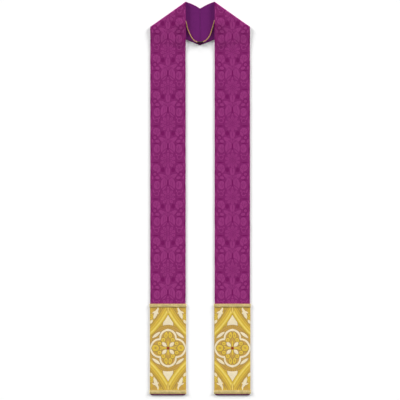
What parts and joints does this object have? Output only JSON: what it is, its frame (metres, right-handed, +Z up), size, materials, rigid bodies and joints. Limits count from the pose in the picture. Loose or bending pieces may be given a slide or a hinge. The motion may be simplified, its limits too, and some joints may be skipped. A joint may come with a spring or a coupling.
{
  "type": "clerical stole",
  "caption": "Lined clerical stole laid flat: parallel damask bands folded under at slanting shoulders, brocade ends with braid, and a cord across the back of the neck.",
  "frame": {"origin": "centre of the stole's outline, on the surface it lies on", "axes": "+Y along the bands towards the neck, +X across the stole, +Z up from the surface it lies on"},
  "size_m": [0.3606, 1.4, 0.009],
  "materials": {
    "damask": "purple woven damask, soft satin figure on a duller ground",
    "lining": "plain violet lining cloth, matt",
    "brocade": "gold brocade with cream figures",
    "braid": "pale gold woven braid",
    "cord": "twisted gold cord",
    "binding": "dark olive thread, wound"
  },
  "bodies": {
    "root": {"face_left": "damask", "face_right": "damask", "face_back_left": "damask", "face_back_right": "damask", "lining_left": "lining", "lining_right": "lining", "lining_back_left": "lining", "lining_back_right": "lining", "end_panel_left": "brocade", "end_panel_right": "brocade", "braid_upper_left": "braid", "braid_upper_right": "braid", "braid_lower_left": "braid", "braid_lower_right": "braid", "neck_cord": "cord", "cord_binding": "binding"}
  },
  "joints": []
}
